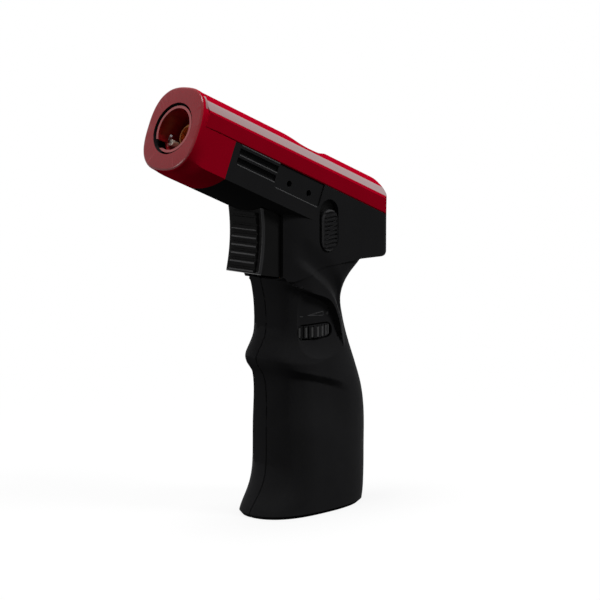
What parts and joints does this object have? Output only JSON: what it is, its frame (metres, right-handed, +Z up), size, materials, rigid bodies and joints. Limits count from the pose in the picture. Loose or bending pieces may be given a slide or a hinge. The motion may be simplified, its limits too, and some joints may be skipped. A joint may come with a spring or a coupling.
{
  "type": "butane torch lighter",
  "caption": "Pistol-shaped butane jet torch with a sloping barrel, a sliding trigger, a side lock, a flame wheel and a refillable tank in the grip.",
  "frame": {"origin": "on the ground plane, in the middle of the width, under the grip near its centre", "axes": "+Z up along the grip, -X towards the muzzle, +Y across the width"},
  "size_m": [0.0944, 0.0281, 0.15],
  "materials": {
    "shell": "fine matt texture",
    "cover": "glossy moulded red",
    "guard": "red painted tube",
    "brass": "turned",
    "holder": "turned",
    "pipe": "drawn",
    "insulator": "glazed ceramic white",
    "steel": "bright",
    "wire": "insulated wire",
    "piezo": "moulded",
    "trigger": "satin moulded",
    "pad": "satin ribbed",
    "wheel": "satin toothed",
    "tank": "smoked nylon",
    "seal": "soft",
    "plate": "moulded",
    "button": "satin ribbed"
  },
  "bodies": {
    "body": {"right_shell": "shell", "left_shell": "shell", "top_cover": "cover", "muzzle_shroud": "cover", "flame_guard": "guard", "burner_nozzle": "brass", "nozzle_holder": "holder", "mixing_tube": "brass", "gas_jet": "brass", "gas_pipe": "pipe", "electrode_insulator": "insulator", "spark_electrode": "steel", "igniter_wire": "wire", "piezo_body": "piezo", "trigger_spring": "steel", "lever_pin": "steel", "valve_body": "brass", "fuel_tank": "tank", "tank_seal": "seal", "tank_lid": "tank", "filler_valve": "brass", "filler_spring": "steel", "base_plate": "plate", "case_screws": "steel"},
    "trigger": {"trigger": "trigger", "trigger_pad": "pad", "piezo_plunger": "steel"},
    "lever": {"valve_lever": "steel"},
    "stem": {"valve_stem": "steel"},
    "wheel": {"flame_wheel": "wheel"},
    "lock": {"lock_button": "button", "lock_plate": "plate"},
    "filler": {"filler_stem": "brass"}
  },
  "joints": [
    {"name": "trigger_slide", "type": "slide", "parent": "body", "child": "trigger", "axis": [0.9848, 0, -0.1736], "range_m": [0, 0.007], "stiffness_N_per_m": 400, "springref_m": -0.004, "deforming": ["trigger_spring"]},
    {"name": "lever_hinge", "type": "hinge", "parent": "body", "child": "lever", "pos_m": [0.003, 0, 0.081], "axis": [0, 1, 0], "range_deg": [0, 8.1]},
    {"name": "stem_slide", "type": "slide", "parent": "body", "child": "stem", "axis": [0, 0, 1], "range_m": [0, 0.00088]},
    {"name": "wheel_turn", "type": "hinge", "parent": "body", "child": "wheel", "pos_m": [-0.0032, 0, 0.0646], "axis": [0, 0, 1], "range_deg": [-60, 60]},
    {"name": "lock_slide", "type": "slide", "parent": "body", "child": "lock", "axis": [0, 0, 1], "range_m": [0, 0.003]},
    {"name": "filler_slide", "type": "slide", "parent": "body", "child": "filler", "axis": [0, 0, 1], "range_m": [0, 0.0012], "stiffness_N_per_m": 100, "springref_m": -0.003, "deforming": ["filler_spring"]}
  ],
  "couplings": [
    {"joint": "lever_hinge", "follows": "trigger_slide", "rad_per_m": 20},
    {"joint": "stem_slide", "follows": "trigger_slide", "ratio": 0.124}
  ]
}
